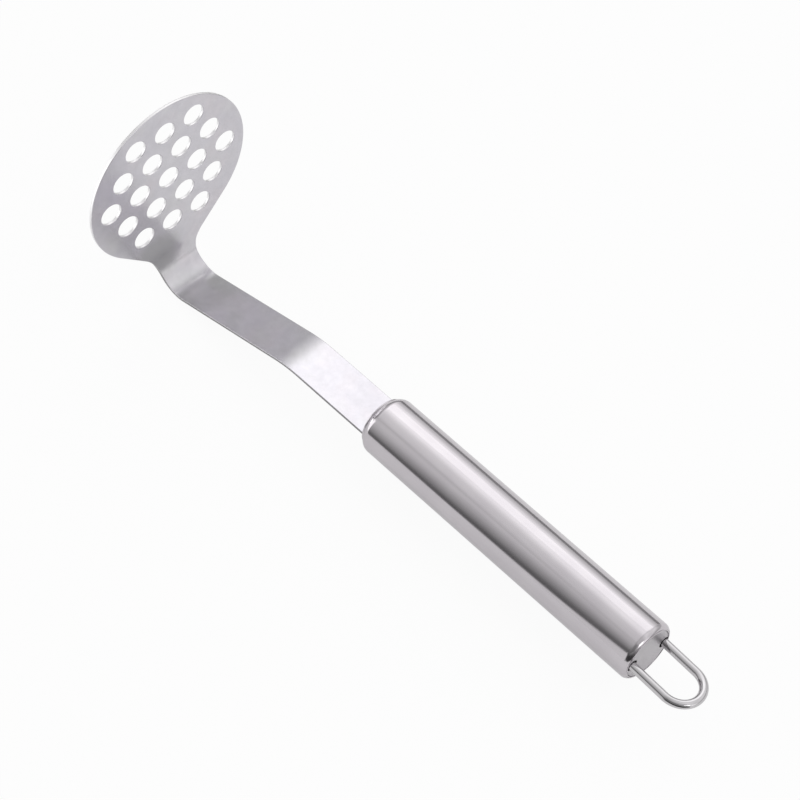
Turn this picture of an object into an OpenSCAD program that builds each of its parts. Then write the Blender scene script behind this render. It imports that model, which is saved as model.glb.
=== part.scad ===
// Potato masher: one stamped and bent steel blade in a hollow round handle
// with a closed front, a recessed butt plate and a wire hanging loop.
// Millimetres. +X runs along the handle towards the loop, +Y across the strap,
// +Z up with the tool lying on its neck bend. The origin is under the middle.

/* [Mashing head] */
// Diameter of the round head
head_d = 75; // [70:1:100]
// Thickness of the steel sheet
sheet_t = 1.3; // [0.8:0.1:2.5]
// Diameter of each perforation
hole_d = 9.4; // [5:0.1:11]
// Distance between neighbouring perforations
hole_pitch = 14.05; // [12:0.05:15.5]
// Perforations in the middle row, with one fewer in each row outwards
middle_row = 5; // [3:2:5]
// Rows of perforations on each side of the middle row
side_rows = 2; // [1:1:2]

/* [Neck and strap] */
// Width of the strap
strap_w = 18.5; // [14:0.5:19]
// Angle off the centreline where the neck's straight flanks leave the head
flank_angle = 44; // [35:1:50]
// Radius of the hollow curve between flank and strap
neck_fillet_r = 16; // [8:1:20]
// Inside radius of the sharp bend below the head
neck_bend_r = 11.4; // [6:0.2:14]
// Slope of the lower strap against the handle
strap_slope = 15.4; // [10:0.2:20]
// Inside radius of the gentle bend in front of the handle
strap_bend_r = 45; // [20:1:60]
// Distance from the head to the corner of the gentle bend
strap_run = 76.4; // [65:0.2:95]
// Height of the head's centre over the handle's axis
head_rise = 36.2; // [32:0.2:45]
// Length of the tang inside the handle
tang_len = 20; // [10:1:40]

/* [Handle] */
// Outside diameter of the handle
handle_d = 24.2; // [23.4:0.2:30]
// Length of the handle without the loop
handle_len = 137; // [90:1:160]
// Distance from the head to the front of the handle
handle_reach = 120; // [105:1:150]
// Wall thickness of the handle tube
tube_wall = 0.7; // [0.5:0.1:1.2]
// Radius of the front shoulder
front_shoulder_r = 4; // [3:0.1:5]
// Share of a quarter circle that the front shoulder turns through, in degrees
front_shoulder_turn = 58; // [50:1:65]
// Radius of the shoulder at the butt
butt_shoulder_r = 2.6; // [2:0.1:4]
// Width of the butt's rolled lip, measured inwards from the handle's outside
butt_lip_w = 1.8; // [1.4:0.1:2.2]

/* [Front cap] */
// Height of the cap's rim in front of the tube
cap_rim_h = 0.7; // [0.4:0.1:1.5]
// Rounding of the cap's rim
cap_rim_r = 0.45; // [0.1:0.05:0.6]
// Width of the cap's rim around its sunk face
cap_rim_w = 0.6; // [0.4:0.05:0.7]
// Depth of the sunk face behind the rim
cap_sink = 0.5; // [0.2:0.1:1]
// Depth of the plug behind the rim
plug_len = 3; // [1.5:0.5:6]

/* [Butt plate] */
// Thickness of the drawn plate and its skirt
plate_t = 0.8; // [0.5:0.1:1.2]
// Length of the skirt inside the tube
skirt_len = 9; // [6:0.5:15]
// Gap around each leg of the loop where it passes through the plate
leg_gap = 0.7; // [0.3:0.1:0.9]

/* [Hanging loop] */
// Diameter of the wire
wire_d = 3.4; // [2.5:0.1:3.8]
// Distance between the centres of the two legs
loop_w = 16.7; // [14:0.1:17.2]
// Length of the loop outside the handle
loop_len = 25.4; // [20:0.2:45]
// Turn of the loop about the handle's axis
loop_roll = -9; // [-20:1:20]
// Droop of the loop from the handle's axis
loop_droop = 3.5; // [0:0.5:5]

/* [Fits] */
// Radial clearance of pressed pieces
press_gap = 0.05; // [0.02:0.01:0.1]
// Clearance around the strap in the cap's slot
slot_gap = 0.1; // [0.05:0.05:0.3]

/* [Hidden] */
$fn = 96;
over = 1;       // how far cutting shapes reach past what they cut
crossing = 0.002; // how far a curve runs past its tangent, so the two cross cleanly

head_r = head_d / 2;
hole_r = hole_d / 2;
handle_r = handle_d / 2;
wire_r = wire_d / 2;
loop_r = loop_w / 2;
row_step = hole_pitch * sin(60);

// The side view is worked out from the head's centre, with X from the head's
// handle side. Corners are where the sheet's middle lines would meet unbent.
axis_z = -head_rise;
neck_mid_r = neck_bend_r + sheet_t / 2;
strap_mid_r = strap_bend_r + sheet_t / 2;
neck_corner = [-sheet_t / 2, axis_z - tan(strap_slope) * (strap_run + sheet_t / 2)];
strap_corner = [strap_run, axis_z];
neck_trim = neck_mid_r * tan((90 + strap_slope) / 2);
strap_trim = strap_mid_r * tan(strap_slope / 2);
slope_len = norm(strap_corner - neck_corner) - neck_trim - strap_trim;
straight_len = handle_reach + tang_len - strap_run - strap_trim;
fold_z = neck_corner[1] + neck_trim; // the flat head ends here
low_z = fold_z - neck_bend_r - sheet_t;

// The neck's outline, seen along the handle, from the head's centre.
flank_start = (head_r - crossing) * [sin(flank_angle), -cos(flank_angle)];
flank_dir = [-cos(flank_angle), -sin(flank_angle)];
flank_corner = flank_start + flank_dir * (flank_start[0] - strap_w / 2) / cos(flank_angle);
fillet_run = neck_fillet_r * tan((90 - flank_angle) / 2);
fillet_top = flank_corner - fillet_run * flank_dir;
fillet_end = flank_corner - [0, fillet_run];
fillet_centre = fillet_end + [neck_fillet_r, 0];

// Stations along the handle.
tube_front = handle_reach + cap_rim_h;
front_arc_x = tube_front + front_shoulder_r * sin(front_shoulder_turn);
front_lip_r = handle_r - front_shoulder_r * (1 - cos(front_shoulder_turn));
front_mouth_r = strap_w / 2 + 0.25;
butt_x = handle_reach + handle_len;
butt_arc_x = butt_x - butt_shoulder_r;
butt_mouth_r = handle_r - butt_lip_w;
bore_r = handle_r - tube_wall;
skirt_r = bore_r - press_gap;
plate_corner_r = butt_shoulder_r - tube_wall - press_gap;
plate_x = butt_arc_x + plate_corner_r;

// The loop, from the middle of the butt plate's face.
loop_tip = butt_x + loop_len - wire_r - plate_x;
loop_arc_x = loop_tip - loop_r;
foot_bend_r = wire_r + 0.2;
foot_x = butt_arc_x - wire_r - 0.1 - plate_x;

// The origin lies under the middle of the tool.
end_x = plate_x + loop_tip * cos(loop_droop) + wire_r;
origin = [(end_x - sheet_t) / 2, 0, low_z];

module along_y(width) {
    rotate([90, 0, 0])
        linear_extrude(height = width, center = true)
            children();
}

module along_x(from_x, to_x) {
    translate([from_x, 0, 0])
        rotate([90, 0, 90])
            linear_extrude(height = to_x - from_x)
                children();
}

module about_x() {
    rotate([0, 90, 0])
        rotate_extrude()
            children();
}

// Side view of bent sheet around a centre, from angle a0 to angle a1.
module sheet_arc(inside_r, a0, a1) {
    outside_r = inside_r + sheet_t;
    reach = 2 * outside_r;
    middle = (a0 + a1) / 2;
    intersection() {
        difference() {
            circle(outside_r);
            circle(inside_r);
        }
        polygon([
            [0, 0],
            reach * [cos(a0), sin(a0)],
            reach * [cos(middle), sin(middle)],
            reach * [cos(a1), sin(a1)]
        ]);
    }
}

// The neck's bend from the head down to its lowest line.
module neck_side() {
    translate([neck_bend_r, 0])
        sheet_arc(neck_bend_r, 180, 270);
}

// The rest of the bend, the sloping stretch, the gentle bend and the straight
// stretch with the tang, each in the frame of the stretch before it.
module strap_side() {
    translate([neck_bend_r, 0])
        rotate(strap_slope) {
            sheet_arc(neck_bend_r, 270 - 2 * strap_slope, 270);
            translate([0, -neck_bend_r - sheet_t])
                square([slope_len, sheet_t]);
            translate([slope_len, -neck_mid_r - strap_mid_r]) {
                sheet_arc(strap_bend_r, 90 - strap_slope * 2 / 3, 90);
                rotate(-strap_slope) {
                    sheet_arc(strap_bend_r, 90, 90 + strap_slope * 2 / 3);
                    translate([0, strap_bend_r])
                        square([straight_len, sheet_t]);
                }
            }
        }
}

module neck_flank() {
    difference() {
        polygon([
            [0, 0],
            flank_start,
            fillet_top,
            fillet_centre,
            fillet_end,
            [0, fillet_end[1]]
        ]);
        translate(fillet_centre)
            circle(neck_fillet_r + crossing);
    }
}

// Round head, straight flanks, hollow curves and the start of the strap.
module blade_outline() {
    circle(head_r);
    neck_flank();
    mirror([1, 0])
        neck_flank();
    translate([-strap_w / 2, low_z - over])
        square([strap_w, -low_z + over]);
}

module perforations() {
    for (row = [-side_rows : side_rows]) {
        count = middle_row - abs(row);
        for (i = [0 : count - 1])
            translate([-sheet_t - over, (i - (count - 1) / 2) * hole_pitch, row * row_step])
                rotate([0, 90, 0])
                    cylinder(h = sheet_t + 2 * over, r = hole_r);
    }
}

// One sheet: the flat head, the narrowing bend below it and the strap.
// Its pieces meet on the fold line, at height zero here.
module blade_sheet() {
    along_x(-sheet_t, 0)
        intersection() {
            translate([0, -fold_z])
                blade_outline();
            translate([-head_r, 0])
                square([head_d, head_r - fold_z]);
        }
    intersection() {
        along_y(head_d)
            neck_side();
        along_x(-sheet_t - over, neck_bend_r + over)
            translate([0, -fold_z])
                blade_outline();
    }
    along_y(strap_w)
        strap_side();
}

module masher_blade() {
    color([0.71, 0.70, 0.72])
        translate(-origin)
            difference() {
                translate([0, 0, fold_z])
                    blade_sheet();
                perforations();
            }
}

// Half outline of a round bar with rounded ends, as radius and station.
module bar_half(r, front_r, back_r) {
    translate([0, front_arc_x])
        square([r, butt_arc_x - front_arc_x]);
    translate([0, front_arc_x - front_r])
        square([r - front_r, front_r]);
    translate([0, butt_arc_x])
        square([r - back_r, back_r]);
    translate([r - front_r, front_arc_x])
        circle(front_r);
    translate([r - back_r, butt_arc_x])
        circle(back_r);
}

module handle_tube() {
    color([0.80, 0.80, 0.81])
        translate([0, 0, axis_z] - origin)
            about_x()
                difference() {
                    bar_half(handle_r, front_shoulder_r, butt_shoulder_r);
                    bar_half(bore_r, front_shoulder_r - tube_wall, butt_shoulder_r - tube_wall);
                    translate([0, tube_front - front_shoulder_r])
                        square([handle_r, front_shoulder_r]);
                    translate([0, tube_front - over])
                        square([front_mouth_r, front_shoulder_r + over]);
                    translate([0, butt_arc_x])
                        square([butt_mouth_r, butt_shoulder_r + over]);
                }
}

// Slotted plug with a rounded rim that sits against the tube's front lip.
module front_cap() {
    rim_r = front_lip_r;
    color([0.78, 0.78, 0.79])
        translate([0, 0, axis_z] - origin)
            difference() {
                about_x() {
                    translate([0, handle_reach + cap_rim_r])
                        square([rim_r, cap_rim_h - cap_rim_r]);
                    translate([0, handle_reach])
                        square([rim_r - cap_rim_r, cap_rim_h]);
                    translate([rim_r - cap_rim_r, handle_reach + cap_rim_r])
                        intersection() {
                            circle(cap_rim_r);
                            translate([0, -cap_rim_r])
                                square(cap_rim_r);
                        }
                    translate([0, handle_reach])
                        square([front_mouth_r - press_gap, cap_rim_h + plug_len]);
                }
                translate([handle_reach - over, 0, 0])
                    rotate([0, 90, 0])
                        cylinder(h = cap_sink + over, r = rim_r - cap_rim_w);
                translate([handle_reach - over, -strap_w / 2 - slot_gap, -sheet_t / 2 - slot_gap])
                    cube([cap_rim_h + plug_len + 2 * over, strap_w + 2 * slot_gap, sheet_t + 2 * slot_gap]);
            }
}

// Puts the loop's own plane at the butt plate, rolled and drooping.
module loop_pose() {
    translate([plate_x, 0, axis_z] - origin)
        rotate([loop_roll, 0, 0])
            rotate([0, loop_droop, 0])
                children();
}

module leg_holes() {
    for (side = [-1, 1])
        translate([-plate_t - 2 * over, side * loop_r, 0])
            rotate([0, 90, 0])
                cylinder(h = plate_t + 3 * over, r = wire_r + leg_gap);
}

// Drawn cup behind the rolled lip, with a clearance hole for each leg.
module end_cap() {
    color([0.66, 0.66, 0.67])
        difference() {
            translate([0, 0, axis_z] - origin)
                about_x()
                    intersection() {
                        difference() {
                            bar_half(skirt_r, plate_corner_r, plate_corner_r);
                            bar_half(skirt_r - plate_t, plate_corner_r - plate_t, plate_corner_r - plate_t);
                        }
                        translate([0, butt_x - skirt_len])
                            square([handle_r, skirt_len]);
                    }
            loop_pose() leg_holes();
        }
}

module hanging_loop() {
    color([0.84, 0.84, 0.85])
        loop_pose() {
            translate([loop_arc_x, 0, 0])
                rotate(-90)
                    rotate_extrude(angle = 180)
                        translate([loop_r, 0])
                            circle(wire_r);
            for (side = [-1, 1]) {
                translate([foot_x + foot_bend_r, side * loop_r, 0])
                    rotate([0, 90, 0])
                        cylinder(h = loop_arc_x - foot_x - foot_bend_r, r = wire_r);
                translate([foot_x + foot_bend_r, side * (loop_r + foot_bend_r), 0])
                    rotate(side > 0 ? 180 : 90)
                        rotate_extrude(angle = 90)
                            translate([foot_bend_r, 0])
                                circle(wire_r);
            }
        }
}

masher_blade();
front_cap();
handle_tube();
end_cap();
hanging_loop();
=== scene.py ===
"""Potato masher of stamped steel sheet with a hollow round handle.

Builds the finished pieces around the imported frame, then the stage. Run as a
script, it calls each operator once, in order.
"""

import math

import bmesh
import bpy
from bpy.props import FloatProperty, FloatVectorProperty, PointerProperty
from mathutils import Matrix, Quaternion, Vector


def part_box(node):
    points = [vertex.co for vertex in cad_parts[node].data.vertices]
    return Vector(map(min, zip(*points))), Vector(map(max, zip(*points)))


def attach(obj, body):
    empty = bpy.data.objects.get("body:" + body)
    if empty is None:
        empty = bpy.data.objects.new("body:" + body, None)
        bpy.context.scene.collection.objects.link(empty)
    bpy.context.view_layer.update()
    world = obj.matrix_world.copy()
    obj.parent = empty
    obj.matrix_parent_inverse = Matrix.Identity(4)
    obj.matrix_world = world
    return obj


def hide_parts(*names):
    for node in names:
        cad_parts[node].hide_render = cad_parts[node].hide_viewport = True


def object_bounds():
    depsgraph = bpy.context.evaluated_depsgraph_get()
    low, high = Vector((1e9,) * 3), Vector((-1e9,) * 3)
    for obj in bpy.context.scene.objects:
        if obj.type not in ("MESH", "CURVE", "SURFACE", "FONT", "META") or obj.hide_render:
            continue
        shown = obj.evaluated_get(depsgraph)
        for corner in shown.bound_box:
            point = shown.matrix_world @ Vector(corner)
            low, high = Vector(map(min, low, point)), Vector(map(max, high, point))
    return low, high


bl_info = {
    "name": "Potato Masher",
    "version": (1, 0, 0),
    "blender": (4, 5, 0),
    "location": "View3D > Sidebar > Masher",
    "description": "Builds a sheet steel potato masher and its studio",
    "category": "Add Mesh",
}

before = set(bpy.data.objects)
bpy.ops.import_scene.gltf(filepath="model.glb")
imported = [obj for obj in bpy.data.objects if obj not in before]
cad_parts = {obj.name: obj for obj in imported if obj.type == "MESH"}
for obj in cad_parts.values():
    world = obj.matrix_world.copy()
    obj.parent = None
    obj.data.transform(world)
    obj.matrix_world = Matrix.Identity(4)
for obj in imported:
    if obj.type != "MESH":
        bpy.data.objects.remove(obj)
CAD_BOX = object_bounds()

MM = 0.001
# Two places closer than a hair are one place; a speck is the error that is let pass.
HAIR = MM / 1000
SPECK = MM / 100
BLADE_LO, BLADE_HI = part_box("masher_blade")
TUBE_LO, TUBE_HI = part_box("handle_tube")
CAP_LO, CAP_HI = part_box("front_cap")
PLATE_LO, PLATE_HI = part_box("end_cap")
LOOP_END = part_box("hanging_loop")[1].x
AXIS_Z = (TUBE_LO.z + TUBE_HI.z) / 2
HANDLE_R = (TUBE_HI.z - TUBE_LO.z) / 2
# Sides of a turned piece, and the radius of the first and last ring of an
# outline that is closed in the middle.
TURNED_SIDES = 192
CORE_R = 1.6 * MM
BODY = "root"

X_AXIS = (1, 0, 0)
Z_AXIS = (0, 0, 1)
FACING_X = (0, math.pi / 2, 0)
FACING_Y = (math.pi / 2, 0, 0)


def length(name, about, default):
    """A length property in metres."""
    return FloatProperty(
        name=name, description=about, default=default, unit="LENGTH", precision=5
    )


def angle(name, about, degrees):
    """An angle property, given in degrees."""
    return FloatProperty(
        name=name, description=about, default=math.radians(degrees), subtype="ANGLE"
    )


def tone(name, about, default):
    """A colour property."""
    return FloatVectorProperty(
        name=name, description=about, default=default, subtype="COLOR", min=0, max=1
    )


def share(name, about, default):
    """A property from nothing to all."""
    return FloatProperty(
        name=name, description=about, default=default, subtype="FACTOR", min=0, max=1
    )


class MasherBladeSizes(bpy.types.PropertyGroup):
    """Sizes of the stamped and bent sheet"""

    head_diameter: length(
        "Head diameter", "Diameter of the round head", BLADE_HI.y - BLADE_LO.y
    )
    sheet: length("Sheet", "Thickness of the steel sheet", 1.3 * MM)
    edge: length("Edge", "Rounding of the tumbled edges", 0.22 * MM)
    hole_diameter: length("Hole diameter", "Diameter of a perforation", 9.4 * MM)
    hole_pitch: length("Hole pitch", "Distance between perforations", 14.05 * MM)
    strap_width: length("Strap width", "Width of the strap", 18.5 * MM)
    flank_angle: angle("Flank angle", "Where the neck's flanks leave the head", 44)
    fillet: length("Neck fillet", "Hollow curve from flank to strap", 17.0 * MM)
    neck_bend: length("Neck bend", "Inside radius of the sharp bend", 11.4 * MM)
    strap_bend: length("Strap bend", "Inside radius of the gentle bend", 45.0 * MM)
    slope: angle("Slope", "Slope of the lower strap", 15.4)
    strap_run: length("Strap run", "From the head to the gentle bend", 76.4 * MM)
    tang: length("Tang", "Length of sheet inside the handle", 20.0 * MM)


class MasherHandleSizes(bpy.types.PropertyGroup):
    """Sizes of the tube, its front cap and its butt plate"""

    wall: length("Wall", "Wall thickness of the tube", 0.7 * MM)
    front_shoulder: length("Front shoulder", "Radius of the front shoulder", 4.0 * MM)
    front_turn: angle("Front turn", "How far the front shoulder turns in", 58)
    front_mouth: length("Front mouth", "Radius of the tube's front mouth", 9.5 * MM)
    butt_shoulder: length("Butt shoulder", "Radius of the butt's shoulder", 2.6 * MM)
    butt_lip: length("Butt lip", "Width of the butt's rolled lip", 1.8 * MM)
    butt_seam: length("Butt seam", "Radius of the seam in the butt's lip", 10.85 * MM)
    slit: length("Slit", "Width and depth of the seam", 0.26 * MM)
    rim_height: length("Rim height", "Height of the cap's rim", 0.7 * MM)
    rim_width: length("Rim width", "Width of the cap's rim", 0.6 * MM)
    bead: length("Bead", "Radius of the bead on the cap's rim", 0.399 * MM)
    proud: length("Proud", "How far the bead stands out of the rim", 0.08 * MM)
    slot_gap: length("Slot gap", "Gap round the strap in the cap's slot", 0.1 * MM)
    sink: length("Sink", "Depth of the cap's sunk face", 0.5 * MM)
    plug: length("Plug", "Depth of the cap behind its rim", 3.0 * MM)
    plate: length("Plate", "Thickness of the butt plate", 0.8 * MM)
    boss: length("Boss", "How far the plate's middle stands out", 0.42 * MM)
    boss_round: length("Boss round", "Rounding of the plate's middle", 0.4 * MM)
    fit: length("Fit", "Gap between pressed pieces", 0.05 * MM)
    seam: length("Seam", "Softening of the turned edges", 0.14 * MM)


class MasherLoopSizes(bpy.types.PropertyGroup):
    """Sizes of the wire loop"""

    wire: length("Wire", "Diameter of the wire", 3.4 * MM)
    width: length("Width", "Distance between the legs' centres", 16.7 * MM)
    leg_gap: length("Leg gap", "Gap around each leg in the plate", 0.7 * MM)
    foot_bend: length("Foot bend", "Inside radius of the bend at each foot", 0.2 * MM)
    foot_gap: length("Foot gap", "Gap between the feet and the plate", 0.1 * MM)
    end_round: length("End round", "Rounding of the wire's ends", 0.25 * MM)
    roll: angle("Roll", "Turn about the handle's axis", -9)
    droop: angle("Droop", "Droop from the handle's axis", 3.5)


class MasherFinishes(bpy.types.PropertyGroup):
    """Colours and gloss of the steel"""

    satin: tone("Satin", "Colour of the rolled sheet", (0.669, 0.654, 0.692))
    satin_dull: tone("Satin, dull", "Its duller clouds", (0.626, 0.608, 0.650))
    satin_rosy: tone("Satin, rosy", "Its rosy patches", (0.675, 0.642, 0.675))
    satin_grey: tone("Satin, grey", "Its greyer patches", (0.660, 0.648, 0.672))
    satin_roughness: share("Satin roughness", "Roughness of the sheet", 0.22)
    polished: tone("Polished", "Colour of the handle", (0.634, 0.604, 0.630))
    polished_dull: tone("Polished, dull", "Its duller clouds", (0.610, 0.578, 0.608))
    polished_roughness: share("Polished roughness", "Roughness of the handle", 0.13)
    cut_bright: tone("Cut edge", "Colour of the holes' walls", (0.86, 0.85, 0.86))
    # The strap's sides: a dull copy of the cut edge, as painted shade where they reflect
    # the floor in the strap's shadow.
    cut_painted_shade: tone("Cut edge, dull", "Colour of the strap's sides", (0.33, 0.32, 0.33))
    cut_roughness: share("Cut roughness", "Roughness of the cut edges", 0.42)
    plain: tone("Plain", "Colour of the butt plate", (0.54, 0.52, 0.54))
    plain_roughness: share("Plain roughness", "Roughness of the plate", 0.34)
    wire: tone("Wire", "Colour of the loop", (0.62, 0.605, 0.62))
    wire_roughness: share("Wire roughness", "Roughness of the loop", 0.07)


class MasherStage(bpy.types.PropertyGroup):
    """Floor, light and camera"""

    lens: FloatProperty(
        name="Lens", description="Focal length in mm", default=112.15, unit="CAMERA"
    )
    azimuth: angle("Azimuth", "Camera's place round the masher", 45.864)
    elevation: angle("Elevation", "Camera's height over the floor", 53.012)
    roll: angle("Roll", "Turn of the picture", 1.397)
    distance: length("Distance", "From the aim to the camera", 0.9332)
    aim: FloatVectorProperty(
        name="Aim",
        description="Where the camera looks",
        default=(-0.02307, 0.01164, 0.01811),
        subtype="XYZ",
        unit="LENGTH",
    )
    floor_size: length("Floor", "Side of the floor", 8.0)
    floor_tone: share("Floor tone", "Lightness of the floor", 0.94)
    shadow: share("Shadow", "How much of the shadow shows", 0.07)
    bounce: share("Bounce", "Share of shaded floor in reflections", 0.68)


# ---------------------------------------------------------------- workbench


def fresh():
    """Leaves edit mode and deselects everything."""
    if bpy.context.object and bpy.context.object.mode != "OBJECT":
        bpy.ops.object.mode_set(mode="OBJECT")
    bpy.ops.object.select_all(action="DESELECT")


def take(piece):
    """Leaves edit mode and selects one piece only."""
    fresh()
    piece.select_set(True)
    bpy.context.view_layer.objects.active = piece


def ring(name, radius, place, turn, sides):
    """Starts a piece as one ring in edit mode, with its place in its mesh."""
    fresh()
    bpy.ops.mesh.primitive_circle_add(
        vertices=sides, radius=radius, location=place, rotation=turn
    )
    piece = bpy.context.object
    piece.name = piece.data.name = name
    bpy.ops.object.transform_apply(location=True, rotation=True, scale=True)
    bpy.ops.object.mode_set(mode="EDIT")
    bpy.ops.mesh.select_all(action="SELECT")
    return piece


def pick(piece, wanted, add=False):
    """Selects the vertices that pass a test, in edit mode."""
    bpy.ops.mesh.select_mode(type="VERT")
    if not add:
        bpy.ops.mesh.select_all(action="DESELECT")
    shape = bmesh.from_edit_mesh(piece.data)
    for vertex in shape.verts:
        if wanted(vertex.co):
            vertex.select = True
    shape.select_flush_mode()
    bmesh.update_edit_mesh(piece.data)


def draw(step):
    """Extrudes what is selected by a step."""
    bpy.ops.mesh.extrude_region_move(TRANSFORM_OT_translate={"value": step})


def close_up():
    """Merges doubles and turns all faces outwards."""
    bpy.ops.mesh.select_all(action="SELECT")
    bpy.ops.mesh.remove_doubles(threshold=HAIR)
    bpy.ops.mesh.normals_make_consistent(inside=False)


def lathe(name, stations, centred=False):
    """Turns an outline of (station, radius) pairs about the handle's axis.

    The outline comes back to its start, or is closed in the middle at both
    ends where it is centred."""
    x, radius = stations[0]
    piece = ring(name, radius, (x, 0, AXIS_Z), FACING_X, TURNED_SIDES)
    for next_x, next_radius in stations[1:] + ([] if centred else stations[:1]):
        draw((next_x - x, 0, 0))
        grow = next_radius / radius
        bpy.ops.transform.resize(
            value=(1, grow, grow), center_override=(next_x, 0, AXIS_Z)
        )
        x, radius = next_x, next_radius
    if centred:
        bpy.ops.mesh.merge(type="CENTER")
        first_x, first_radius = stations[0]
        pick(
            piece,
            lambda co: abs(co.x - first_x) < HAIR
            and math.hypot(co.y, co.z - AXIS_Z) < first_radius + SPECK,
        )
        bpy.ops.mesh.merge(type="CENTER")
    close_up()
    return piece


def turn_arc(x, radius, size, start, end, steps):
    """Stations of an arc about (x, radius); angles run from the axis line."""
    return [
        (
            x + size * math.cos(math.radians(start + (end - start) * i / steps)),
            radius + size * math.sin(math.radians(start + (end - start) * i / steps)),
        )
        for i in range(steps + 1)
    ]


def cut(piece, cutter):
    """Cuts one solid out of another and removes the cutter."""
    take(piece)
    knife = piece.modifiers.new("cut", "BOOLEAN")
    knife.operation = "DIFFERENCE"
    knife.solver = "EXACT"
    knife.object = cutter
    bpy.ops.object.modifier_apply(modifier=knife.name)
    bpy.data.objects.remove(cutter)


def finish_piece(piece, node, finish=None, crease=None, slack=0.15 * MM):
    """Gives a piece its shading and body, and its finish where one is named; hides its
    solid and checks its fit.
    """
    take(piece)
    if crease is None:
        bpy.ops.object.shade_smooth()
    else:
        bpy.ops.object.shade_smooth_by_angle(angle=math.radians(crease))
    if finish:
        piece.data.materials.clear()
        piece.data.materials.append(bpy.data.materials[finish])
    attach(piece, BODY)
    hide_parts(node)
    check_fit(piece, node, slack)


def check_fit(piece, node, slack):
    """Raises where a piece is larger or smaller than its solid."""
    corners = [piece.matrix_world @ Vector(c) for c in piece.bound_box]
    low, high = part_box(node)
    for axis in range(3):
        ends = [c[axis] for c in corners]
        if abs(min(ends) - low[axis]) > slack or abs(max(ends) - high[axis]) > slack:
            raise RuntimeError(
                f"{piece.name} spans {min(ends):.5f} to {max(ends):.5f} on axis {axis}"
                f", and its solid {low[axis]:.5f} to {high[axis]:.5f}"
            )


# ----------------------------------------------------------------- finishes


def new_material(name):
    """A new material with its tree, its shader and a way to add nodes."""
    material = bpy.data.materials.new(name)
    material.use_nodes = True
    tree = material.node_tree
    return material, tree, tree.nodes["Principled BSDF"], adder(tree)


def adder(tree):
    """A function that adds a node and links or sets its inputs."""

    def add(kind, inputs=(), **settings):
        node = tree.nodes.new(kind)
        for key, value in settings.items():
            setattr(node, key, value)
        for key, value in dict(inputs).items():
            if isinstance(value, bpy.types.NodeSocket):
                tree.links.new(value, node.inputs[key])
            else:
                node.inputs[key].default_value = value
        return node

    return add


def surface(tree, node):
    """Makes a node the material's surface."""
    tree.links.new(node.outputs[0], tree.nodes["Material Output"].inputs["Surface"])


def grey(value):
    """A grey with its alpha."""
    return (value, value, value, 1)


def work(add, operation, *values):
    """The result of one sum on numbers or sockets."""
    return add("ShaderNodeMath", dict(enumerate(values)), operation=operation).outputs[0]


def apart(add, output="Object"):
    """The X, Y and Z of a place."""
    places = add("ShaderNodeTexCoord").outputs[output]
    return add("ShaderNodeSeparateXYZ", {"Vector": places}).outputs


def grain(add, places, scale, size, detail, rough=0.55):
    """Noise on the piece's own place, stretched by a scale for each axis."""
    spread = add("ShaderNodeMapping", {"Vector": places, "Scale": scale})
    return add(
        "ShaderNodeTexNoise",
        {
            "Vector": spread.outputs[0],
            "Scale": size,
            "Detail": detail,
            "Roughness": rough,
        },
    ).outputs["Fac"]


def band(add, value, low, high, out_low, out_high):
    """Maps a value from one range to another, and stops at its ends."""
    return add(
        "ShaderNodeMapRange",
        {
            "Value": value,
            "From Min": low,
            "From Max": high,
            "To Min": out_low,
            "To Max": out_high,
        },
    ).outputs[0]


def veil(tree, add, colour, mask, low, high, tint):
    """Lays a tint over a colour where a mask is high."""
    cover = band(add, mask, low, high, 0.0, 1.0)
    layer = add("ShaderNodeMix", {"Factor": cover}, data_type="RGBA")
    if isinstance(colour, bpy.types.NodeSocket):
        tree.links.new(colour, layer.inputs["A"])
    else:
        layer.inputs["A"].default_value = (*colour, 1)
    layer.inputs["B"].default_value = (*tint, 1)
    return layer.outputs["Result"]


def painted_shade_oval(add, places, centre, size, depth):
    """A factor of painted shade that dips by a depth in a soft oval about a place.

    It fades out from 0.62 to 1.08 of the oval's half-widths."""
    vector = "ShaderNodeVectorMath"
    moved = add(vector, {0: places, 1: centre}, operation="SUBTRACT")
    scaled = add(vector, {0: moved.outputs[0], 1: size}, operation="DIVIDE")
    far = add(vector, {0: scaled.outputs[0]}, operation="LENGTH")
    return band(add, far.outputs["Value"], 0.62, 1.08, 1.0 - depth, 1.0)


def steel(
    name,
    light,
    dark,
    roughness,
    cloud_size,
    grain_size,
    bump,
    stretch=(1, 1, 1),
    tints=(),
    painted_shade_spots=(),
):
    """Bare steel: clouds of tone, tint and gloss under a fine grain.

    The grain is drawn out by a stretch. Spots of painted shade are darker and greyer."""
    _, tree, shader, add = new_material(name)
    places = add("ShaderNodeTexCoord").outputs["Object"]
    clouds = grain(add, places, (1, 1, 1), cloud_size, 3.0)
    lines = grain(add, places, stretch, grain_size / 8, 3.0)
    fine = grain(add, places, stretch, grain_size, 5.0, 0.6)
    colour = veil(tree, add, dark, clouds, 0.35, 0.65, light)
    for i, tint in enumerate(tints):
        patches = grain(add, places, (1, 1, 1), cloud_size * (1.7 + 0.6 * i), 2.0)
        colour = veil(tree, add, colour, patches, 0.5, 0.75, tint)
    streaks = band(add, lines, 0.3, 0.7, 0.965, 1.035)
    toned = add("ShaderNodeHueSaturation", {"Color": colour, "Value": streaks})
    # Each spot of painted shade darkens and greys the colour, standing for a darker
    # reflection.
    for shade_spot in painted_shade_spots:
        dimmed = painted_shade_oval(add, places, *shade_spot)
        toned = add(
            "ShaderNodeHueSaturation",
            {
                "Color": toned.outputs[0],
                "Saturation": band(add, dimmed, 0.8, 1.0, 0.2, 1.0),
                "Value": dimmed,
            },
        )
    tree.links.new(toned.outputs[0], shader.inputs["Base Color"])
    cloudy = band(add, clouds, 0.3, 0.7, roughness * 1.12, roughness * 0.9)
    grainy = band(add, fine, 0.3, 0.7, -roughness * 0.12, roughness * 0.12)
    tree.links.new(work(add, "ADD", cloudy, grainy), shader.inputs["Roughness"])
    emboss(tree, shader, add, fine, bump, 0.02 * MM)


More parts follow.
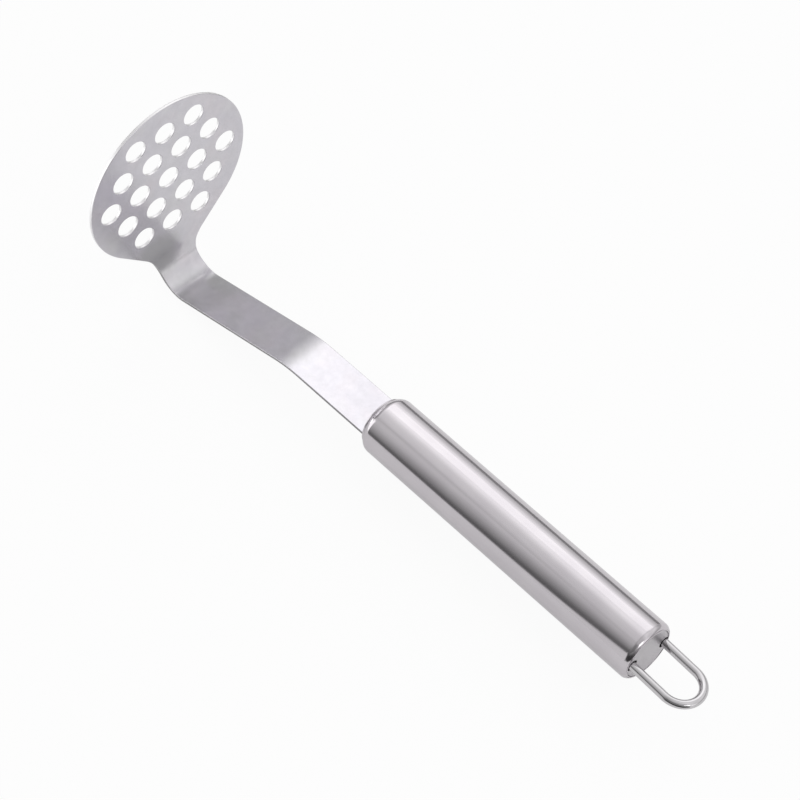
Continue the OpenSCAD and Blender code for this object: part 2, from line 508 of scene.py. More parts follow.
def emboss(tree, shader, add, height, strength, depth):
    """Gives a bare metal its fine relief."""
    relief = add(
        "ShaderNodeBump", {"Height": height, "Strength": strength, "Distance": depth}
    )
    tree.links.new(relief.outputs[0], shader.inputs["Normal"])
    shader.inputs["Metallic"].default_value = 1.0


def cut_steel(name, bright, dull, roughness, low, high):
    """Sheared edges: dull below one height, as painted shade, and bright above another."""
    _, tree, shader, add = new_material(name)
    places = add("ShaderNodeTexCoord").outputs["Object"]
    height = add("ShaderNodeSeparateXYZ", {"Vector": places}).outputs["Z"]
    tears = grain(add, places, (0.15, 1, 1), 2200, 3.0)
    # Painted shade: the cut edges darken below a height, on the strap's sides.
    colour = veil(tree, add, dull, height, low, high, bright)
    torn = add(
        "ShaderNodeHueSaturation",
        {"Color": colour, "Value": band(add, tears, 0.3, 0.7, 0.93, 1.05)},
    )
    tree.links.new(torn.outputs[0], shader.inputs["Base Color"])
    tree.links.new(
        band(add, tears, 0.3, 0.7, roughness * 0.85, roughness * 1.15),
        shader.inputs["Roughness"],
    )
    emboss(tree, shader, add, tears, 0.3, 0.03 * MM)


# Painted shade on the neck, where it reflects the strap: the middle, the half-widths and
# the depth.
NECK_PAINTED_SHADE = (
    ((-0.1405, -0.009, 0.0155), (0.008, 0.0125, 0.0115), 0.20),
    ((-0.122, 0.0, 0.004), (0.014, 0.013, 0.012), 0.12),
)


class MASHER_OT_finishes(bpy.types.Operator):
    """Mixes the finishes of the sheet, the handle, the plate and the wire"""

    bl_idname = "masher.finishes"
    bl_label = "Steel finishes"

    def execute(self, context):
        looks = context.scene.masher_finishes
        steel(
            "rolled_sheet",
            looks.satin,
            looks.satin_dull,
            looks.satin_roughness,
            cloud_size=38,
            grain_size=2600,
            bump=0.25,
            tints=(looks.satin_rosy, looks.satin_grey),
            # The neck's painted shade, where it reflects the strap.
            painted_shade_spots=NECK_PAINTED_SHADE,
        )
        steel(
            "mirror_tube",
            looks.polished,
            looks.polished_dull,
            looks.polished_roughness,
            cloud_size=70,
            grain_size=1800,
            bump=0.12,
            stretch=(0.06, 1, 1),
        )
        steel(
            "drawn_plate",
            looks.plain,
            looks.plain,
            looks.plain_roughness,
            cloud_size=60,
            grain_size=2200,
            bump=0.3,
        )
        steel(
            "bright_wire",
            looks.wire,
            looks.wire,
            looks.wire_roughness,
            cloud_size=60,
            grain_size=1500,
            bump=0.1,
            stretch=(0.1, 1, 1),
        )
        cut_steel(
            "cut_edge",
            looks.cut_bright,
            looks.cut_painted_shade,
            looks.cut_roughness,
            # Heights between the painted shade on the strap's sides and the bright walls
            # of the holes.
            low=20 * MM,
            high=26 * MM,
        )
        return {"FINISHED"}


# ------------------------------------------------------------------- pieces


# Sides of the round outlines, rows of holes, and steps of the sheet's curves
# and the wire's.
HEAD_SIDES = 360
HOLE_SIDES = 64
HOLE_ROWS = 5
FILLET_STEPS = 16
NECK_STEPS = 28
STRAP_STEPS = 10
WIRE_SIDES = 48
FOOT_STEPS = 10
LEG_STEPS = 8
ROUND_STEPS = 72
# Where the quarter round at the sheet's edges has its corners, in degrees.
EDGE_TURNS = (0, 30, 60, 90)


def bend_lines(sizes):
    """Heights of both bends' lines on the flat sheet, and of the sheet's end.

    The stretches of the bent sheet's side view are laid out straight."""
    neck_r = sizes.neck_bend + sizes.sheet / 2
    neck_turn = math.pi / 2 + sizes.slope
    neck_arc = neck_r * neck_turn
    neck_trim = neck_r * math.tan(neck_turn / 2)
    strap_r = sizes.strap_bend + sizes.sheet / 2
    strap_arc = strap_r * sizes.slope
    strap_trim = strap_r * math.tan(sizes.slope / 2)
    run = sizes.strap_run + sizes.sheet / 2
    sloping = run / math.cos(sizes.slope) - neck_trim - strap_trim
    tang_x = CAP_LO.x + sizes.tang
    level = tang_x - BLADE_LO.x - sizes.sheet - sizes.strap_run - strap_trim
    neck_z = AXIS_Z - math.tan(sizes.slope) * run + neck_trim
    strap_z = neck_z - neck_arc - sloping
    neck = [neck_z - neck_arc * i / NECK_STEPS for i in range(NECK_STEPS + 1)]
    strap = [strap_z - strap_arc * i / STRAP_STEPS for i in range(STRAP_STEPS + 1)]
    return neck, strap, strap_z - strap_arc - level


def flat_outline(sizes, middle, head_z, end_z):
    """Draws half of the sheet's edge, from head to strap, and mirrors it."""
    head_r = sizes.head_diameter / 2
    half = sizes.strap_width / 2
    piece = ring("pressed_blade", head_r, (middle, 0, head_z), FACING_X, HEAD_SIDES)
    out = (head_r * math.sin(sizes.flank_angle), -head_r * math.cos(sizes.flank_angle))
    pick(
        piece,
        lambda co: co.y < -SPECK
        or (co.z - head_z < out[1] - SPECK and co.y < out[0] - SPECK),
    )
    bpy.ops.mesh.delete(type="VERT")
    down = (-math.cos(sizes.flank_angle), -math.sin(sizes.flank_angle))
    hollow_turn = math.pi / 2 - sizes.flank_angle
    flank = (out[0] - half) / -down[0] - sizes.fillet * math.tan(hollow_turn / 2)
    pick(piece, lambda co: abs(co.y - out[0]) < SPECK and co.z < head_z)
    draw((0, down[0] * flank, down[1] * flank))
    hollow_z = head_z + out[1] + down[1] * flank + down[0] * sizes.fillet
    bpy.ops.mesh.spin(
        steps=FILLET_STEPS,
        angle=-hollow_turn,
        center=(middle, half + sizes.fillet, hollow_z),
        axis=X_AXIS,
    )
    shape = bmesh.from_edit_mesh(piece.data)
    low = [v.co.copy() for v in shape.verts if v.select]
    if len(low) != 1 or abs(low[0].y - half) > 2 * SPECK:
        raise RuntimeError(f"the neck's hollow curve ends at {low}")
    draw((0, 0, end_z - low[0].z))
    draw((0, -half, 0))
    bpy.ops.mesh.select_all(action="SELECT")
    bpy.ops.mesh.duplicate()
    bpy.ops.transform.resize(value=(1, -1, 1), center_override=(0, 0, 0))
    bpy.ops.mesh.select_all(action="SELECT")
    bpy.ops.mesh.remove_doubles(threshold=SPECK)
    return piece


def perforate(sizes, middle, head_z):
    """Draws the holes in staggered rows and fills the sheet round them."""
    bpy.ops.mesh.select_all(action="DESELECT")
    bpy.ops.mesh.primitive_circle_add(
        vertices=HOLE_SIDES,
        radius=sizes.hole_diameter / 2,
        location=(middle, 0, head_z),
        rotation=FACING_X,
    )
    here = Vector((0, 0))
    row_step = sizes.hole_pitch * math.sin(math.pi / 3)
    for row in range(-(HOLE_ROWS // 2), HOLE_ROWS // 2 + 1):
        count = HOLE_ROWS - abs(row)
        for i in range(count):
            place = (i - (count - 1) / 2) * sizes.hole_pitch
            there = Vector((place, row * row_step))
            if there.length < MM:
                continue
            step = there - here
            bpy.ops.mesh.duplicate_move(
                TRANSFORM_OT_translate={"value": (0, step.x, step.y)}
            )
            here = there
    bpy.ops.mesh.select_all(action="SELECT")
    bpy.ops.mesh.fill(use_beauty=True)


def thicken(piece, sizes, middle):
    """Raises one side with a quarter round at its edges, and mirrors it."""
    bpy.ops.mesh.select_mode(type="FACE")
    bpy.ops.mesh.select_all(action="SELECT")
    bpy.ops.mesh.normals_make_consistent(inside=False)
    shape = bmesh.from_edit_mesh(piece.data)
    if sum(f.normal.x * f.calc_area() for f in shape.faces) < 0:
        bpy.ops.mesh.flip_normals()
    draw((sizes.sheet / 2 - sizes.edge, 0, 0))
    turns = [math.radians(turn) for turn in EDGE_TURNS]
    for start, end in zip(turns, turns[1:]):
        bpy.ops.mesh.inset(
            thickness=sizes.edge * (math.cos(start) - math.cos(end)),
            depth=sizes.edge * (math.sin(end) - math.sin(start)),
            use_even_offset=True,
        )
    bpy.ops.mesh.region_to_loop()
    bpy.ops.mesh.mark_sharp()
    bpy.ops.mesh.select_mode(type="FACE")
    bpy.ops.mesh.select_all(action="DESELECT")
    shape = bmesh.from_edit_mesh(piece.data)
    for face in shape.faces:
        face.select = all(abs(v.co.x - middle) < HAIR for v in face.verts)
    bmesh.update_edit_mesh(piece.data)
    bpy.ops.mesh.delete(type="FACE")
    bpy.ops.mesh.select_all(action="SELECT")
    bpy.ops.mesh.duplicate()
    bpy.ops.transform.resize(value=(-1, 1, 1), center_override=(middle, 0, 0))
    close_up()


def finish_walls(piece):
    """Gives the sheared walls of the holes and the outline their own finish.

    The sheet is still flat, so a wall's normal hardly leaves its plane."""
    for name in ("rolled_sheet", "cut_edge"):
        piece.data.materials.append(bpy.data.materials[name])
    shape = bmesh.from_edit_mesh(piece.data)
    for face in shape.faces:
        # The walls' finish carries painted shade on the strap's sides.
        face.material_index = 1 if abs(face.normal.x) < 0.3 else 0
    bmesh.update_edit_mesh(piece.data)


def slice_sheet(lines):
    """Cuts an edge across the sheet at each line, and just outside the bend."""
    guard = 0.5 * MM
    for z in lines + [lines[0] + guard, lines[-1] - guard]:
        bpy.ops.mesh.select_all(action="SELECT")
        bpy.ops.mesh.bisect(plane_co=(0, 0, z), plane_no=Z_AXIS)


def bend(piece, middle, lines, turn):
    """Folds the sheet at each line of a bend, from the far end to the head.

    The bend's first and last lines turn half as far as the others."""
    for z in reversed(lines):
        part = 0.5 if z in (lines[0], lines[-1]) else 1.0
        fold(piece, middle, z, turn * part / (len(lines) - 1))


def fold(piece, middle, z, turn):
    """Bends the sheet at a line, and turns all that lies beyond it.

    What is already folded stays selected; what hangs below the line and is
    still flat joins it. Vertices on the line turn half as far."""
    bent_x = middle + 1 * MM
    for reach in (-HAIR, HAIR):
        pick(piece, lambda co: co.z < z + reach and co.x < bent_x, add=True)
        bpy.ops.transform.rotate(
            value=-turn / 2,
            orient_axis="Y",
            orient_type="GLOBAL",
            center_override=(middle, 0, z),
        )


class MASHER_OT_blade(bpy.types.Operator):
    """Stamps the perforated head with its strap, and bends it"""

    bl_idname = "masher.blade"
    bl_label = "Masher blade"

    def execute(self, context):
        sizes = context.scene.masher_blade
        middle = BLADE_LO.x + sizes.sheet / 2
        head_z = BLADE_HI.z - sizes.head_diameter / 2
        neck, strap, end_z = bend_lines(sizes)
        piece = flat_outline(sizes, middle, head_z, end_z)
        perforate(sizes, middle, head_z)
        thicken(piece, sizes, middle)
        finish_walls(piece)
        slice_sheet(neck)
        slice_sheet(strap)
        bpy.ops.mesh.select_all(action="DESELECT")
        bend(piece, middle, strap, sizes.slope)
        bend(piece, middle, neck, -(math.pi / 2 + sizes.slope))
        finish_piece(piece, "masher_blade")
        return {"FINISHED"}


def tube_outline(sizes):
    """Stations of the tube: its outside, its rolled lip and its inside."""
    wall, soft = sizes.wall, sizes.seam
    turn = math.degrees(sizes.front_turn)
    shoulder = sizes.front_shoulder
    shoulder_x = TUBE_LO.x + shoulder * math.sin(sizes.front_turn)
    shoulder_r = HANDLE_R - shoulder
    curl = sizes.butt_shoulder
    curl_r = HANDLE_R - curl
    mouth = HANDLE_R - sizes.butt_lip
    curl_x = TUBE_HI.x - math.sqrt(curl**2 - (mouth - curl_r) ** 2)

    # The outside: a blunt front lip, the shoulder, the straight, the slit curl.
    # The blunt lip takes two degrees of the shoulder.
    blunt = 2
    guard = 0.3 * MM
    lip_r = shoulder_r + shoulder * math.cos(sizes.front_turn)
    straight = curl_x - shoulder_x - 2 * guard
    outside = [(TUBE_LO.x, lip_r - soft)]
    outside += turn_arc(shoulder_x, shoulder_r, shoulder, 90 + turn - blunt, 90, 12)
    outside += [(shoulder_x + guard + straight * i / 6, HANDLE_R) for i in range(7)]
    curl_lift = mouth + 2 * soft - curl_r
    outer_end = math.degrees(math.asin(curl_lift / curl))
    seam_at = math.degrees(math.asin((sizes.butt_seam - curl_r) / curl))
    half_slit = math.degrees(sizes.slit / 2 / curl)
    slit_start, slit_end = seam_at + half_slit, seam_at - half_slit
    outside += turn_arc(curl_x, curl_r, curl, 90, slit_start, 10)
    outside += turn_arc(curl_x, curl_r, curl - sizes.slit, slit_start, slit_end, 1)
    outside += turn_arc(curl_x, curl_r, curl, slit_end, outer_end, 3)

    # The inside, one wall deeper, and the rounded lip between the two.
    inner_end = math.degrees(math.asin(curl_lift / (curl - wall)))
    inside = turn_arc(curl_x, curl_r, curl - wall, inner_end, 90, 8)
    inside += turn_arc(shoulder_x, shoulder_r, shoulder - wall, 90, 90 + turn, 8)
    lip_out, lip_in = outside[-1][0], inside[0][0]
    lip = [
        (lip_out - 0.1 * soft, mouth + soft),
        (lip_out - soft, mouth + 0.15 * soft),
        (lip_out - 2 * soft, mouth),
        (lip_in + soft, mouth),
        (lip_in + 0.3 * soft, mouth + 0.5 * soft),
    ]
    inner_x = inside[-1][0]
    inside += [
        (inner_x, sizes.front_mouth + soft),
        (inner_x - soft, sizes.front_mouth),
        (TUBE_LO.x + soft, sizes.front_mouth),
        (TUBE_LO.x, sizes.front_mouth + soft),
    ]
    return outside + lip + inside


class MASHER_OT_handle_tube(bpy.types.Operator):
    """Draws the tube, with its front shoulder and rolled butt"""

    bl_idname = "masher.handle_tube"
    bl_label = "Handle tube"

    def execute(self, context):
        stations = tube_outline(context.scene.masher_handle)
        piece = lathe("handle_shell", stations)
        finish_piece(piece, "handle_tube", "mirror_tube", crease=30)
        return {"FINISHED"}


class MASHER_OT_front_cap(bpy.types.Operator):
    """Turns the slotted cap in the tube's front"""

    bl_idname = "masher.front_cap"
    bl_label = "Front cap"

    def execute(self, context):
        sizes = context.scene.masher_handle
        blade = context.scene.masher_blade
        seam, bead = sizes.seam, sizes.bead
        rim = (CAP_HI.y - CAP_LO.y) / 2
        plug = sizes.front_mouth - sizes.fit
        sunk = rim - sizes.rim_width
        front = CAP_LO.x
        behind = front + sizes.rim_height + sizes.plug
        stations = [
            (front + sizes.sink, CORE_R),
            (front + sizes.sink, sunk - seam),
            *turn_arc(front + sizes.sink - seam, sunk - seam, seam, 0, 90, 3)[1:],
            (front + seam, sunk),
            *turn_arc(front + bead, rim + sizes.proud - bead, bead, 200, 5, 14),
            (front + 2 * bead, plug),
            (behind - seam, plug),
            (behind, plug - seam),
            (behind, CORE_R),
        ]
        piece = lathe("slotted_cap", stations, centred=True)
        fresh()
        gaps = 2 * sizes.slot_gap
        bpy.ops.mesh.primitive_cube_add(
            size=1,
            location=(front + sizes.plug / 2, 0, AXIS_Z),
            scale=(sizes.plug * 3, blade.strap_width + gaps, blade.sheet + gaps),
        )
        cut(piece, context.object)
        finish_piece(piece, "front_cap", "mirror_tube", crease=30)
        return {"FINISHED"}


def loop_place(sizes):
    """Where the loop's own plane stands: rolled, drooping, at the plate."""
    return (
        Matrix.Translation((PLATE_HI.x, 0, AXIS_Z))
        @ Matrix.Rotation(sizes.roll, 4, "X")
        @ Matrix.Rotation(sizes.droop, 4, "Y")
    )


def settle(piece, place):
    """Moves a piece to its place and puts that place in its mesh."""
    take(piece)
    piece.matrix_world = place
    bpy.context.view_layer.update()
    bpy.ops.object.transform_apply(location=True, rotation=True, scale=True)


class MASHER_OT_butt_plate(bpy.types.Operator):
    """Draws the sunk plate behind the butt's rolled lip"""

    bl_idname = "masher.butt_plate"
    bl_label = "Butt plate"

    def execute(self, context):
        sizes = context.scene.masher_handle
        loop = context.scene.masher_loop
        seam, soft = sizes.seam, sizes.boss_round
        outer = HANDLE_R - sizes.wall - sizes.fit
        curve = sizes.butt_shoulder - sizes.wall - sizes.fit
        curve_x = PLATE_HI.x - curve
        middle = outer - curve
        rim = HANDLE_R - sizes.butt_lip - 2 * sizes.fit
        face = PLATE_HI.x + sizes.boss
        lift = math.degrees(math.asin((rim - middle) / curve))
        stations = [
            (face, CORE_R),
            (face, rim - 2 * soft),
            *turn_arc(face - soft, rim - soft, soft, 0, 90, 6),
            *turn_arc(curve_x, middle, curve, lift, 90, 8),
            (PLATE_LO.x + seam, outer),
            (PLATE_LO.x, outer - seam),
            (PLATE_LO.x, outer - sizes.plate + seam),
            (PLATE_LO.x + seam, outer - sizes.plate),
            *turn_arc(curve_x, middle, curve - sizes.plate, 90, 0, 6),
            (PLATE_HI.x - sizes.plate, CORE_R),
        ]
        piece = lathe("butt_plate", stations, centred=True)
        for side in (-1, 1):
            fresh()
            bpy.ops.mesh.primitive_cylinder_add(
                vertices=HOLE_SIDES,
                radius=loop.wire / 2 + loop.leg_gap,
                depth=6 * sizes.plate,
                location=(0, side * loop.width / 2, 0),
                rotation=FACING_X,
            )
            drill = context.object
            bpy.ops.object.transform_apply(location=True, rotation=True, scale=True)
            settle(drill, loop_place(loop))
            cut(piece, drill)
        finish_piece(
            piece,
            "end_cap",
            "drawn_plate",
            crease=30,
            slack=sizes.boss + 0.1 * MM,
        )
        return {"FINISHED"}


def spin(steps, turn, centre, arrives, piece):
    """Spins what is selected about an upright axis and checks where it ends."""
    bpy.ops.mesh.spin(steps=steps, angle=turn, center=centre, axis=Z_AXIS)
    ends = [v.co for v in bmesh.from_edit_mesh(piece.data).verts if v.select]
    middle = sum(ends, Vector()) / len(ends)
    if (middle - Vector(arrives)).length > SPECK:
        raise RuntimeError(f"{piece.name} was bent to {middle}, not to {arrives}")


class MASHER_OT_hanging_loop(bpy.types.Operator):
    """Bends the wire loop and its two feet"""

    bl_idname = "masher.hanging_loop"
    bl_label = "Hanging loop"

    def execute(self, context):
        sizes = context.scene.masher_loop
        handle = context.scene.masher_handle
        wire_r = sizes.wire / 2
        half = sizes.width / 2
        bend_r = wire_r + sizes.foot_bend
        foot_y = half + bend_r
        plate_curve = handle.butt_shoulder - handle.wall - handle.fit
        foot_x = -plate_curve - wire_r - sizes.foot_gap
        leg_x = foot_x + bend_r
        tip = (LOOP_END - wire_r - PLATE_HI.x) / math.cos(sizes.droop)
        round_x = tip - half
        quarter = math.pi / 2
        leg_step = (round_x - leg_x) / LEG_STEPS

        piece = ring("wire_loop", wire_r, (foot_x, foot_y, 0), FACING_Y, WIRE_SIDES)
        spin(FOOT_STEPS, -quarter, (leg_x, foot_y, 0), (leg_x, half, 0), piece)
        for _ in range(LEG_STEPS):
            draw((leg_step, 0, 0))
        spin(ROUND_STEPS, math.pi, (round_x, 0, 0), (round_x, -half, 0), piece)
        for _ in range(LEG_STEPS):
            draw((-leg_step, 0, 0))
        spin(FOOT_STEPS, -quarter, (leg_x, -foot_y, 0), (foot_x, -foot_y, 0), piece)
        for side in (-1, 1):
            pick(piece, lambda co: side * co.y > foot_y - HAIR)
            bpy.ops.mesh.edge_face_add()
            bpy.ops.mesh.inset(thickness=sizes.end_round, depth=0)
        close_up()
        settle(piece, loop_place(sizes))
        finish_piece(piece, "hanging_loop", "bright_wire", crease=40)
        return {"FINISHED"}


# -------------------------------------------------------------------- stage


# The camera's film width in millimetres, and how near and far it sees in metres.
SENSOR = 36
CLIP = (0.05, 50)
# How far the end card's inner top corner is lowered.
END_DROP = 0.055
# Each lamp's name, place, width and height, and watts.
LAMPS = (
    ("softbox", (-0.5, 0.9, 1.1), (1.2, 0.7), 0.8),
    ("head_fill", (-1.3, -0.42, 0.14), (0.35, 0.35), 0.6),
    ("loop_spark", (1.3, -0.16, 0.62), (0.38, 0.38), 1.0),
)


class MASHER_OT_stage(bpy.types.Operator):
    """Lays the floor, lights the studio and sets up the camera"""

    bl_idname = "masher.stage"
    bl_label = "Stage"

    def execute(self, context):
        stage = context.scene.masher_stage
        context.scene.view_settings.view_transform = "Standard"
        fresh()
        bpy.ops.mesh.primitive_plane_add(
            size=stage.floor_size, location=(0, 0, CAD_BOX[0].z)
        )
        floor = context.object
        floor.name = "floor"
        floor.data.materials.append(floor_paint(stage))

        studio_sky(context.scene)
        studio_card("near_card", near_shades, at=-0.155, ends=(-0.35, 0.35), height=0.30)
        studio_card("far_strip", far_shades, at=0.25, ends=(-0.35, 0.06), height=0.06)
        end = studio_card(
            "end_card", end_shades, "X", at=0.17, ends=(-0.155, -0.009), height=0.09
        )
        lower_corner(end, END_DROP)
        hang_lamps(Vector(stage.aim))
        stand_camera(stage)
        return {"FINISHED"}


def hang_lamps(aim):
    """Hangs each lamp at its place, facing the aim."""
    for name, place, (width, height), watts in LAMPS:
        bpy.ops.object.light_add(type="AREA", location=place)
        lamp = bpy.context.object
        lamp.name = name
        lamp.data.shape = "RECTANGLE"
        lamp.data.size = width
        lamp.data.size_y = height
        lamp.data.energy = watts
        aim_at(lamp, aim)


def stand_camera(stage):
    """Stands the camera at its place round the masher, facing the aim."""
    bpy.ops.object.camera_add()
    camera = bpy.context.object
    camera.name = "camera"
    camera.data.lens = stage.lens
    camera.data.sensor_width = SENSOR
    camera.data.clip_start, camera.data.clip_end = CLIP
    level = math.cos(stage.elevation)
    back = Vector(
        (
            math.sin(stage.azimuth) * level,
            -math.cos(stage.azimuth) * level,
            math.sin(stage.elevation),
        )
    )
    camera.location = Vector(stage.aim) + back * stage.distance
    aim_at(camera, Vector(stage.aim), stage.roll)
    bpy.context.scene.camera = camera


def aim_at(thing, point, roll=0.0):
    """Turns a lamp or the camera to face a point."""
    look = (point - thing.location).to_track_quat("-Z", "Y")
    thing.rotation_mode = "QUATERNION"
    thing.rotation_quaternion = look @ Quaternion(Z_AXIS, roll)


def floor_paint(stage):
    """White to the camera and in reflections, with a share of its shading."""
    material, tree, shader, add = new_material("white_floor")
    shader.inputs["Base Color"].default_value = grey(stage.floor_tone)
    shader.inputs["Roughness"].default_value = 0.9
    shader.inputs["Specular IOR Level"].default_value = 0.0
    glow = add("ShaderNodeEmission", {"Color": grey(1), "Strength": 1.0})
    rays = add("ShaderNodeLightPath").outputs
    seen = work(add, "MULTIPLY", rays["Is Camera Ray"], 1 - stage.shadow)
    mirrored = work(add, "MAXIMUM", rays["Is Glossy Ray"], rays["Is Transmission Ray"])
    white = work(add, "MULTIPLY_ADD", mirrored, 1 - stage.bounce, seen)
    mix = add("ShaderNodeMixShader", {0: white, 1: shader.outputs[0], 2: glow.outputs[0]})
    surface(tree, mix)
    return material


# Each pair below is a place and the value there, and a list's top is the value
# that its ramp shows as white.

# Brightness of the studio round the handle's axis: degrees from level on the
# far side, over the top, to level on the near side.
SKY = (
    (0, 0.72), (12, 0.74), (21, 0.94), (29, 1.24), (37, 1.30), (46, 1.22),
    (56, 1.20), (65, 1.29), (73, 1.35), (82, 1.12), (92, 0.93), (101, 0.87),
    (110, 0.83), (116, 0.71), (126, 0.66), (140, 0.64), (180, 0.50),
)
SKY_TOP = 1.4
# How that changes from the head's side of the room, at -1, to the loop's, at 1.
ROOM = (
    (-1.0, 1.6), (-0.95, 1.5), (-0.89, 0.50), (-0.82, 0.38), (-0.73, 0.60),
    (-0.62, 0.88), (-0.52, 1.04), (-0.45, 0.985), (-0.25, 0.88), (-0.08, 0.66),
    (0.0, 0.64), (0.10, 0.74), (0.25, 0.78), (0.40, 0.75), (0.6, 0.71),
    (0.8, 0.69), (0.88, 0.68), (0.93, 0.95), (1.0, 0.95),
)
ROOM_TOP = 1.6
# The near card's pale foot: its height at places along the handle, in metres.
FOOT = (
    (-0.06, 0.004), (-0.034, 0.004), (-0.02, 0.009), (0.008, 0.014), (0.022, 0.021),
    (0.038, 0.033), (0.052, 0.050), (0.07, 0.076), (0.10, 0.060), (0.135, 0.004),
)
FOOT_TOP = 0.08
# The near card's shades above its foot, by the share of its reach.
CARD = (
    (-0.02, 0.80), (0.03, 0.50), (0.06, 0.15), (0.2, 0.13), (0.3, 0.18),
    (0.4, 0.24), (0.5, 0.30), (0.6, 0.35), (0.8, 0.43), (1.0, 0.50),
    (1.2, 0.56), (1.6, 0.64), (2.0, 0.71),
)


def light_ramp(add, value, low, high, stops, top):
    """A colour ramp over a range of a value, as (place, brightness) stops."""
    ramp = add("ShaderNodeValToRGB", {0: band(add, value, low, high, 0.0, 1.0)})
    elements = ramp.color_ramp.elements
    elements.remove(elements[-1])
    for i, (place, light) in enumerate(stops):
        where = (place - low) / (high - low)
        stop = elements[0] if i == 0 else elements.new(where)
        stop.position = where
        stop.color = grey(light / top)
    return ramp.outputs[0]


def near_shades(add, at):
    """Pale along a slanting foot, dark above it, and paler towards the top.

    The top edge is a little darker and the loop's end much darker. The head's
    end has a bright window."""
    x, z = at["X"], at["Z"]
    foot = light_ramp(add, x, -0.06, 0.14, FOOT, FOOT_TOP)
    reach = band(add, x, -0.09, 0.02, 0.09, 0.155)
    above = work(add, "MULTIPLY_ADD", foot, -FOOT_TOP, z)
    shade = light_ramp(add, work(add, "DIVIDE", above, reach), -0.02, 2.0, CARD, 1)
    edged = work(add, "MULTIPLY", shade, band(add, z, 0.268, 0.278, 1.0, 0.90))
    darker = work(add, "MULTIPLY", edged, band(add, x, 0.09, 0.14, 1.0, 0.45))
    beside = band(add, x, -0.142, -0.130, 1.55, 0.0)
    below = band(add, z, 0.185, 0.215, 1.0, 0.0)
    return work(add, "MAXIMUM", darker, work(add, "MULTIPLY", beside, below))


def far_shades(add, at):
    """One dark grey."""
    return grey(0.28)


def end_shades(add, at):
    """Dark, and paler towards the top and the inner side."""
    inner = band(add, at["Y"], -0.030, -0.009, 0.0, 0.20)
    slant = work(add, "MULTIPLY_ADD", at["Y"], 0.38, at["Z"])
    return work(add, "ADD", inner, band(add, slant, 0.006, 0.031, 0.05, 0.32))


def card_paint(name, shades):
    """A glowing paint whose shades are worked out from the place."""
    material, tree, shader, add = new_material(name)
    tree.nodes.remove(shader)
    light = shades(add, apart(add))
    glow = add("ShaderNodeEmission", {"Color": light, "Strength": 1.0})
    surface(tree, glow)
    return material


def studio_card(name, shades, faces="Y", *, at, ends, height):
    """Stands a card that shows only in the steel's reflections.

    It stands at a place on the axis that it faces, between two ends."""
    fresh()
    middle, width = (ends[0] + ends[1]) / 2, ends[1] - ends[0]
    up = CAD_BOX[0].z + height / 2
    along_x = faces == "Y"
    bpy.ops.mesh.primitive_plane_add(
        size=1,
        location=(middle, at, up) if along_x else (at, middle, up),
        rotation=FACING_Y if along_x else FACING_X,
    )
    card = bpy.context.object
    size = (width, 1, height) if along_x else (1, width, height)
    bpy.ops.transform.resize(value=size)
    bpy.ops.object.transform_apply(location=True, rotation=True, scale=True)
    card.name = name
    card.data.materials.append(card_paint(name, shades))
    card.visible_camera = card.visible_diffuse = card.visible_shadow = False
    card.visible_transmission = card.visible_volume_scatter = False
    return card


def lower_corner(card, drop):
    """Lowers a card's inner top corner, so that its top edge slants."""
    take(card)
    corner = max((v.co for v in card.data.vertices), key=lambda co: co.y + co.z).copy()
    bpy.ops.object.mode_set(mode="EDIT")
    pick(card, lambda co: (co - corner).length < SPECK)
    bpy.ops.transform.translate(value=(0, 0, -drop))
    fresh()


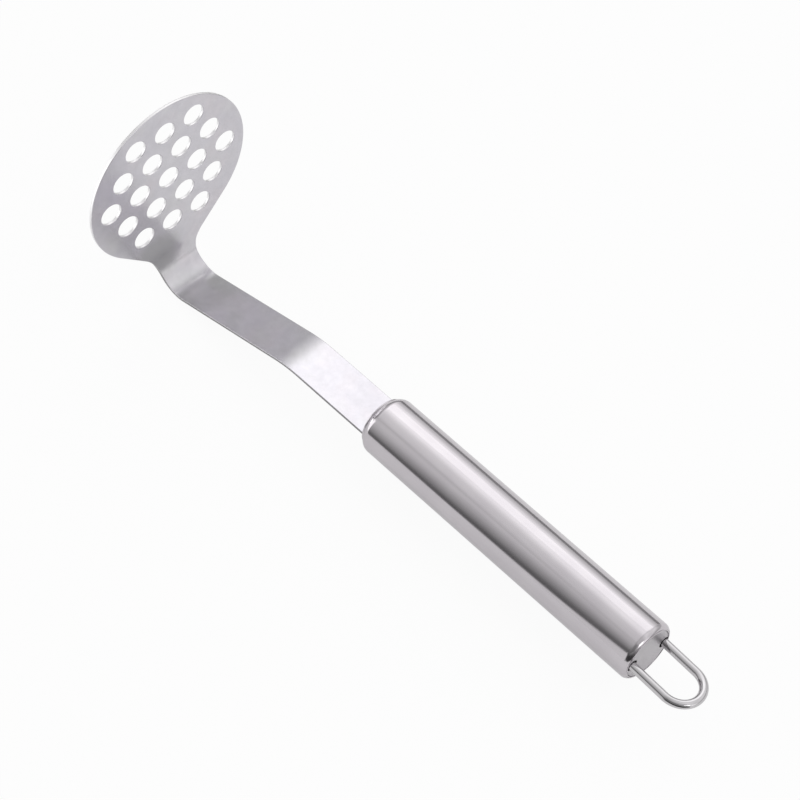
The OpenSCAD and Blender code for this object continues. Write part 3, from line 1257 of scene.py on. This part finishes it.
def studio_sky(scene):
    """White to the camera, and a soft room to all else.

    The room is brightest above the masher's far side."""
    world = bpy.data.worlds.new("studio")
    scene.world = world
    world.use_nodes = True
    tree = world.node_tree
    tree.nodes.clear()
    add = adder(tree)
    at = apart(add, "Generated")
    degrees = work(add, "DEGREES", work(add, "ARCTAN2", at["Z"], at["Y"]))
    around = light_ramp(add, degrees, 0, 180, SKY, SKY_TOP)
    along = light_ramp(add, at["X"], -1, 1, ROOM, ROOM_TOP)
    both = add(
        "ShaderNodeMix",
        {"Factor": 1.0, "A": around, "B": along},
        data_type="RGBA",
        blend_type="MULTIPLY",
    )
    strength = SKY_TOP * ROOM_TOP
    room = add(
        "ShaderNodeBackground", {"Color": both.outputs["Result"], "Strength": strength}
    )
    white = add("ShaderNodeBackground", {"Color": grey(1), "Strength": 1.0})
    rays = add("ShaderNodeLightPath").outputs
    mix = add(
        "ShaderNodeMixShader",
        {0: rays["Is Camera Ray"], 1: room.outputs[0], 2: white.outputs[0]},
    )
    add("ShaderNodeOutputWorld", {"Surface": mix.outputs[0]})


# ------------------------------------------------------------------- add-on


class MASHER_PT_masher(bpy.types.Panel):
    """Lists the pieces and their sizes"""

    bl_label = "Potato Masher"
    bl_space_type = "VIEW_3D"
    bl_region_type = "UI"
    bl_category = "Masher"

    def draw(self, context):
        scene = context.scene
        for operator, group in (
            ("masher.finishes", scene.masher_finishes),
            ("masher.blade", scene.masher_blade),
            ("masher.handle_tube", scene.masher_handle),
            ("masher.front_cap", None),
            ("masher.butt_plate", None),
            ("masher.hanging_loop", scene.masher_loop),
            ("masher.stage", scene.masher_stage),
        ):
            box = self.layout.box()
            box.operator(operator)
            if group:
                for name in group.bl_rna.properties.keys():
                    if name not in {"rna_type", "name"}:
                        box.prop(group, name)


GROUPS = {
    "masher_blade": MasherBladeSizes,
    "masher_handle": MasherHandleSizes,
    "masher_loop": MasherLoopSizes,
    "masher_finishes": MasherFinishes,
    "masher_stage": MasherStage,
}
CLASSES = (
    *GROUPS.values(),
    MASHER_OT_finishes,
    MASHER_OT_blade,
    MASHER_OT_handle_tube,
    MASHER_OT_front_cap,
    MASHER_OT_butt_plate,
    MASHER_OT_hanging_loop,
    MASHER_OT_stage,
    MASHER_PT_masher,
)


def register():
    """Adds the classes and the scene's groups of sizes."""
    for cls in CLASSES:
        bpy.utils.register_class(cls)
    for name, group in GROUPS.items():
        setattr(bpy.types.Scene, name, PointerProperty(type=group))


def unregister():
    """Removes what register adds."""
    for name in GROUPS:
        delattr(bpy.types.Scene, name)
    for cls in reversed(CLASSES):
        bpy.utils.unregister_class(cls)


def main():
    """Builds every piece and the stage."""
    register()
    bpy.ops.masher.finishes()
    bpy.ops.masher.blade()
    bpy.ops.masher.handle_tube()
    bpy.ops.masher.front_cap()
    bpy.ops.masher.butt_plate()
    bpy.ops.masher.hanging_loop()
    bpy.ops.masher.stage()
    fresh()


if __name__ == "__main__":
    main()
